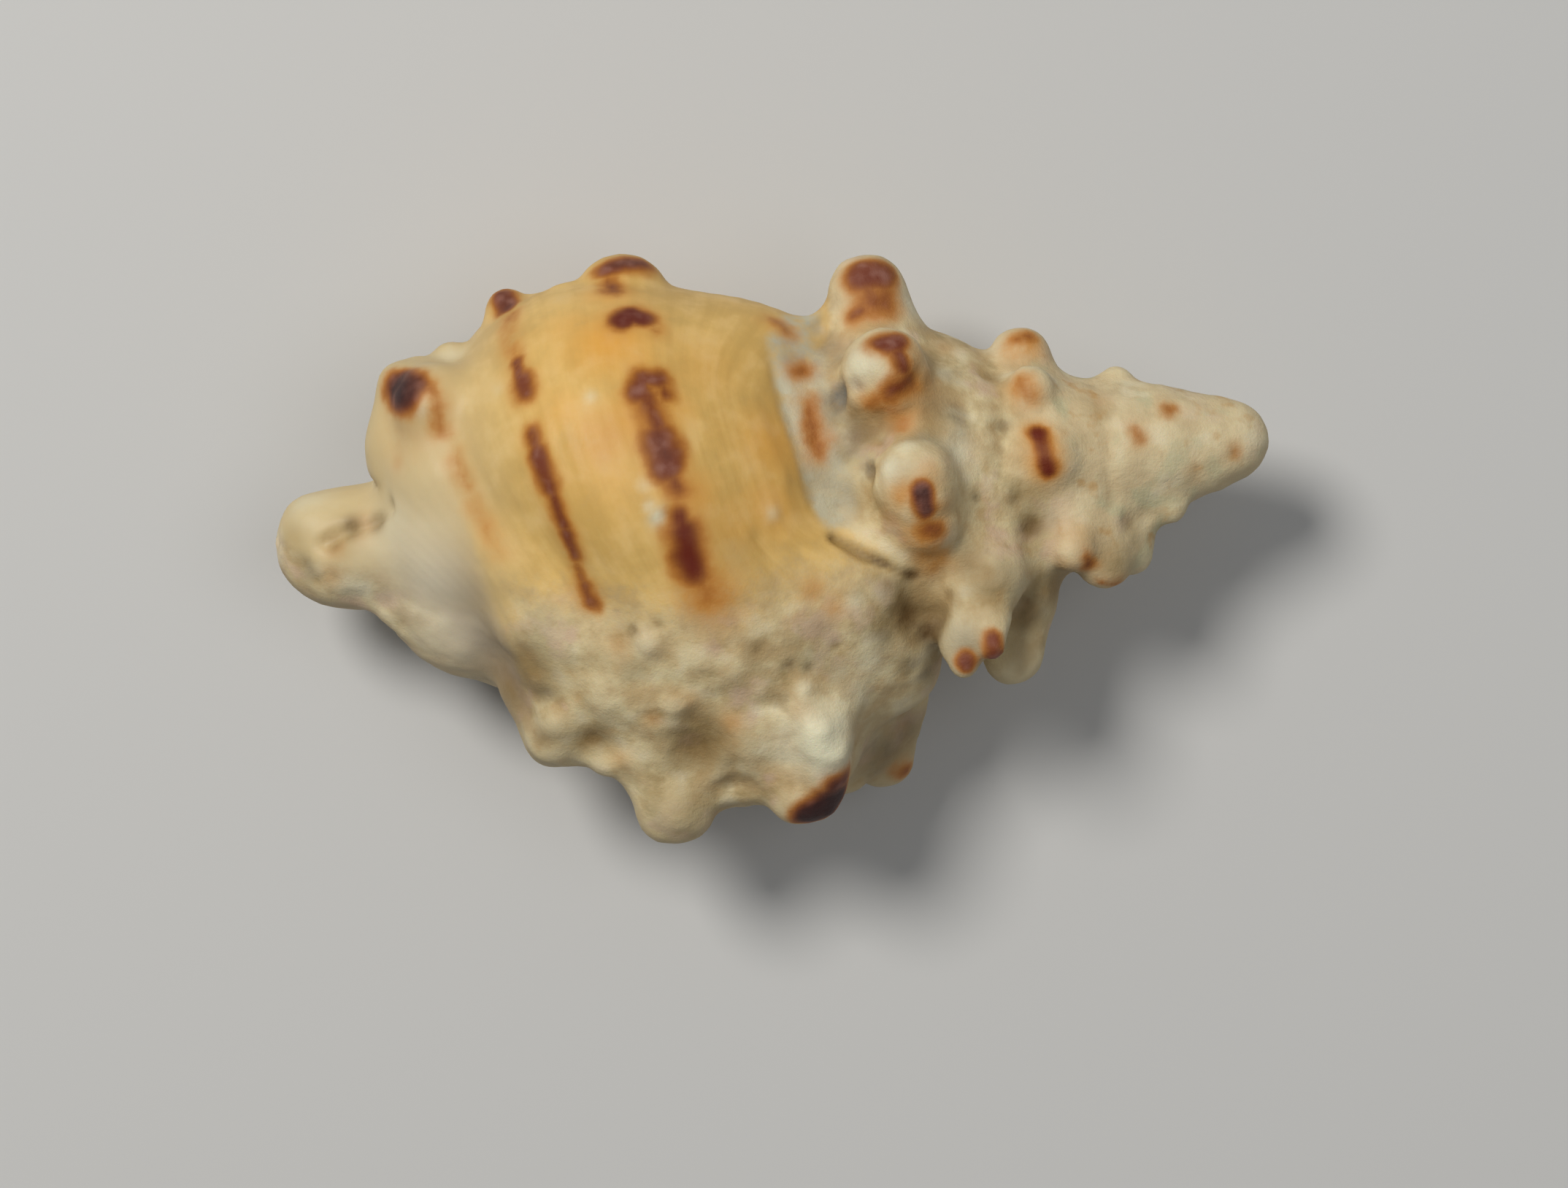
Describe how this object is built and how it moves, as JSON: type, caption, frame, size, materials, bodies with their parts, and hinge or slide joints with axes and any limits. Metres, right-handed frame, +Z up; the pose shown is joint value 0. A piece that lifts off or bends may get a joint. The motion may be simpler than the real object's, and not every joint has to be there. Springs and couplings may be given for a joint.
{
  "type": "frog shell",
  "caption": "Small knobbly frog shell with a pointed spire, side varices, a short siphonal canal and an open aperture; it lies on its aperture side.",
  "frame": {"origin": "centre of the box that bounds the shell, at the plane it rests on", "axes": "+X along the coiling axis towards the apex, +Y towards the outer lip, +Z up from the aperture side to the back"},
  "size_m": [0.0362, 0.0215, 0.0142],
  "materials": {
    "worn_shell": "yellow-orange glossy last whorl with broken dark brown bands, chalky grey-white worn spire and varices"
  },
  "bodies": {
    "root": {"shell": "worn_shell"}
  },
  "joints": []
}
